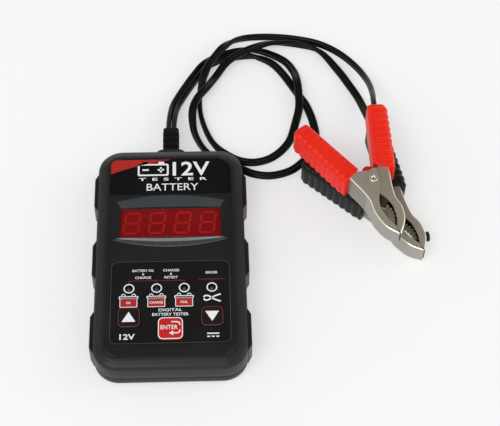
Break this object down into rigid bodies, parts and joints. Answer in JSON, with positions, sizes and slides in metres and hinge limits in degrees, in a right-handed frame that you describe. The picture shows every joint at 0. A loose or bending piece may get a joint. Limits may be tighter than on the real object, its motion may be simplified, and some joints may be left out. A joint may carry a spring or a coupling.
{
  "type": "battery tester",
  "caption": "Hand-held 12 V battery tester: flat box with a digit display, keypad and indicator lights, and flat leads to a red and a black spring clamp.",
  "frame": {"origin": "centre of the flat back face of the case", "axes": "+X across the case, +Y along it towards the cable boot, +Z out of the display face"},
  "size_m": [0.1654, 0.2143, 0.0303],
  "materials": {
    "case_plastic": "fine satin texture",
    "window_red": "polished",
    "display_module": "satin",
    "label_gloss": "gloss",
    "blank_label": "satin",
    "key_black": "satin",
    "key_red": "satin",
    "switch_black": "matt",
    "led_lens": "gloss",
    "board_green": "satin",
    "screw_steel": "satin",
    "capacitor_metal": "satin",
    "resistor_ceramic": "matt",
    "wire_red": "satin",
    "boot_rubber": "matt",
    "grip_rubber": "matt",
    "lead_pvc": "satin",
    "jaw_steel": "satin nickel",
    "rivet_steel": "polished",
    "spring_steel": "satin",
    "crimp_copper": "satin",
    "red_plastic": "satin",
    "black_plastic": "satin"
  },
  "bodies": {
    "tester": {"front_shell": "case_plastic", "rear_shell": "case_plastic", "display_window": "window_red", "led_display": "display_module", "top_label": "label_gloss", "keypad_overlay": "label_gloss", "rear_label": "blank_label", "tact_switches": "switch_black", "indicator_led_1": "led_lens", "indicator_led_2": "led_lens", "indicator_led_3": "led_lens", "indicator_led_4": "led_lens", "circuit_board": "board_green", "board_screws": "screw_steel", "case_screws": "screw_steel", "microcontroller": "switch_black", "voltage_regulator": "switch_black", "capacitors": "capacitor_metal", "load_resistor": "resistor_ceramic", "inner_wires": "wire_red", "cable_boot": "boot_rubber", "side_grip_left_1": "grip_rubber", "side_grip_left_2": "grip_rubber", "side_grip_left_3": "grip_rubber", "side_grip_right_1": "grip_rubber", "side_grip_right_2": "grip_rubber", "side_grip_right_3": "grip_rubber", "lead_red": "lead_pvc", "lead_black": "lead_pvc", "red_jaw_fixed": "jaw_steel", "red_teeth_fixed": "jaw_steel", "red_grip_fixed": "red_plastic", "red_rivet": "rivet_steel", "red_spring_bush": "red_plastic", "red_spring_coil": "spring_steel", "red_crimp": "crimp_copper", "black_jaw_fixed": "jaw_steel", "black_teeth_fixed": "jaw_steel", "black_grip_fixed": "black_plastic", "black_rivet": "rivet_steel", "black_spring_bush": "black_plastic", "black_spring_coil": "spring_steel", "black_crimp": "crimp_copper", "black_stud": "black_plastic"},
    "up_key": {"key_up": "key_black", "switch_button_up": "switch_black"},
    "down_key": {"key_down": "key_black", "switch_button_down": "switch_black"},
    "enter_key": {"key_enter": "key_red", "switch_button_enter": "switch_black"},
    "red_handle": {"red_jaw_moving": "jaw_steel", "red_teeth_moving": "jaw_steel", "red_grip_moving": "red_plastic", "red_spring_leg": "spring_steel"},
    "black_handle": {"black_jaw_moving": "jaw_steel", "black_teeth_moving": "jaw_steel", "black_grip_moving": "black_plastic", "black_spring_leg": "spring_steel"}
  },
  "joints": [
    {"name": "up_key_press", "type": "slide", "parent": "tester", "child": "up_key", "axis": [0, 0, -1], "range_m": [0, 0.0005], "stiffness_N_per_m": 800, "springref_m": -0.0008},
    {"name": "down_key_press", "type": "slide", "parent": "tester", "child": "down_key", "axis": [0, 0, -1], "range_m": [0, 0.0005], "stiffness_N_per_m": 800, "springref_m": -0.0008},
    {"name": "enter_key_press", "type": "slide", "parent": "tester", "child": "enter_key", "axis": [0, 0, -1], "range_m": [0, 0.0005], "stiffness_N_per_m": 800, "springref_m": -0.0008},
    {"name": "red_handle_squeeze", "type": "hinge", "parent": "tester", "child": "red_handle", "pos_m": [0.0995, 0.0335, 0.0228], "axis": [0, 0, -1], "range_deg": [0, 32], "stiffness_Nm_per_rad": 0.5, "springref_deg": -45.84},
    {"name": "black_handle_squeeze", "type": "hinge", "parent": "tester", "child": "black_handle", "pos_m": [0.108, 0.0315, 0.0075], "axis": [0, 0, -1], "range_deg": [0, 32], "stiffness_Nm_per_rad": 0.5, "springref_deg": -45.84}
  ]
}
